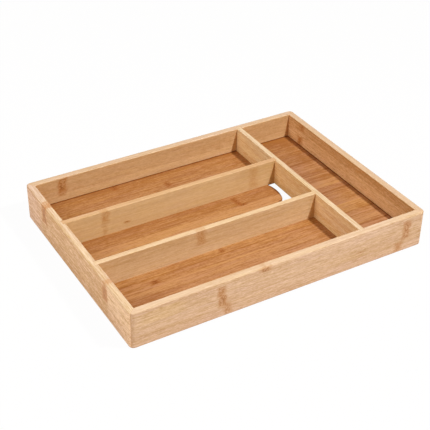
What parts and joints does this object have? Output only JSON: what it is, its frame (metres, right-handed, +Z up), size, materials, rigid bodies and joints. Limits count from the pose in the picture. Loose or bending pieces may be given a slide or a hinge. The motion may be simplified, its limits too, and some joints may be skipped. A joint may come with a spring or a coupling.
{
  "type": "cutlery tray",
  "caption": "Rectangular bamboo cutlery tray with long compartments side by side, a cross compartment at one end and a slot in the floor to lift it by.",
  "frame": {"origin": "centre of the tray's base, on the surface that the walls stand on", "axes": "+X along the tray's length, from the long compartments to the cross compartment; +Y from the front wall to the rear wall; +Z up, out of the open compartments"},
  "size_m": [0.34, 0.25, 0.041],
  "materials": {
    "bamboo_wall": "natural bamboo, satin clear lacquer",
    "bamboo_divider": "natural bamboo, satin clear lacquer",
    "bamboo_floor": "steamed darker bamboo, satin clear lacquer"
  },
  "bodies": {
    "root": {"front_wall": "bamboo_wall", "rear_wall": "bamboo_wall", "left_wall": "bamboo_wall", "right_wall": "bamboo_wall", "cross_divider": "bamboo_divider", "front_long_divider": "bamboo_divider", "rear_long_divider": "bamboo_divider", "floor_panel": "bamboo_floor"}
  },
  "joints": []
}
